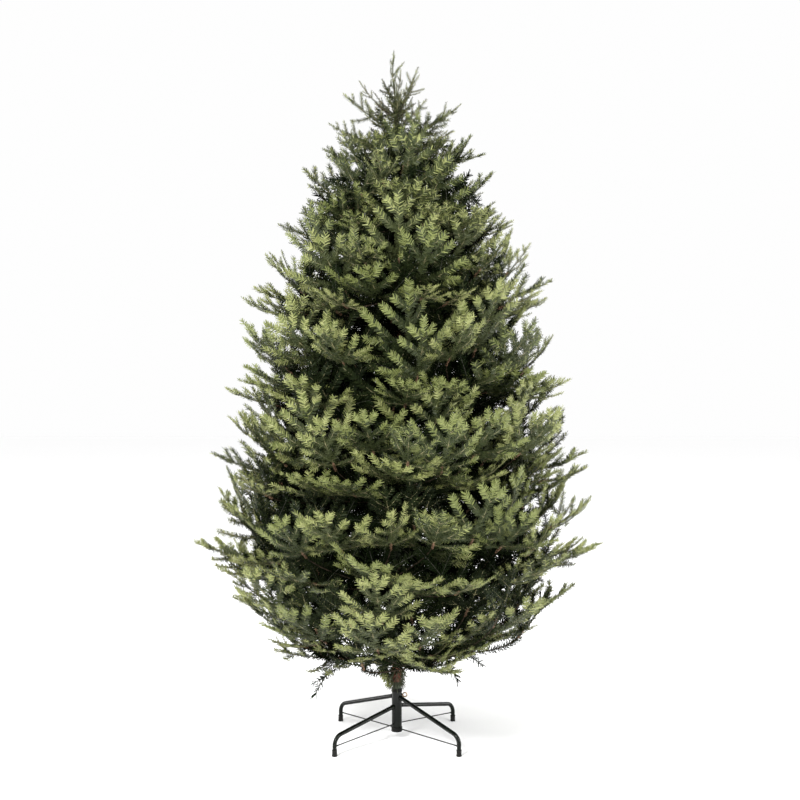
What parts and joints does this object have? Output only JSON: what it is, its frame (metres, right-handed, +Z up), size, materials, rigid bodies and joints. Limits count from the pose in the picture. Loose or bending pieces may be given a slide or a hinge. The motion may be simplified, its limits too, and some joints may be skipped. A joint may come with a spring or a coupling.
{
  "type": "artificial christmas tree",
  "caption": "Undecorated artificial fir tree: a conical crown of flat needle sprays on hinged boughs round a steel pole, standing in a folding splayed-leg steel stand.",
  "frame": {"origin": "on the floor under the pole's axis, between the four feet", "axes": "+Z up along the pole, -Y towards the picture's camera, +X to the picture's right"},
  "size_m": [1.2257, 1.2132, 2.1],
  "materials": {
    "needles": "matt green moulded and cut-film needles, lighter at the shoot tips, very dark inside the crown",
    "bough_wrap": "steel rod under matt brown tape",
    "pole_steel": "green paint with reddish brown collars",
    "stand_steel": "glossy very dark green black paint",
    "black_plastic": "smooth black plastic",
    "cap_rubber": "dull black",
    "bolt_steel": "yellow brown passivated steel"
  },
  "bodies": {
    "root": {"hub_tube": "stand_steel", "hub_base_cap": "black_plastic", "hub_rim": "black_plastic", "eye_bolt": "bolt_steel", "leg_1": "stand_steel", "stay_1": "stand_steel", "foot_cap_1": "cap_rubber", "leg_2": "stand_steel", "stay_2": "stand_steel", "foot_cap_2": "cap_rubber", "leg_3": "stand_steel", "stay_3": "stand_steel", "foot_cap_3": "cap_rubber", "leg_4": "stand_steel", "stay_4": "stand_steel", "foot_cap_4": "cap_rubber", "pole": "pole_steel", "bough_1_1": "bough_wrap", "foliage_1_1": "needles", "bough_1_2": "bough_wrap", "foliage_1_2": "needles", "bough_1_3": "bough_wrap", "foliage_1_3": "needles", "bough_1_4": "bough_wrap", "foliage_1_4": "needles", "bough_2_1": "bough_wrap", "foliage_2_1": "needles", "bough_2_2": "bough_wrap", "foliage_2_2": "needles", "bough_2_3": "bough_wrap", "foliage_2_3": "needles", "bough_2_4": "bough_wrap", "foliage_2_4": "needles", "bough_2_5": "bough_wrap", "foliage_2_5": "needles", "bough_3_1": "bough_wrap", "foliage_3_1": "needles", "bough_3_2": "bough_wrap", "foliage_3_2": "needles", "bough_3_3": "bough_wrap", "foliage_3_3": "needles", "bough_3_4": "bough_wrap", "foliage_3_4": "needles", "bough_4_1": "bough_wrap", "foliage_4_1": "needles", "bough_4_2": "bough_wrap", "foliage_4_2": "needles", "bough_4_3": "bough_wrap", "foliage_4_3": "needles", "bough_4_4": "bough_wrap", "foliage_4_4": "needles", "foliage_5_1": "needles", "foliage_5_2": "needles", "foliage_5_3": "needles", "foliage_5_4": "needles", "foliage_6_1": "needles", "foliage_6_2": "needles", "foliage_6_3": "needles", "foliage_leader": "needles"}
  },
  "joints": []
}
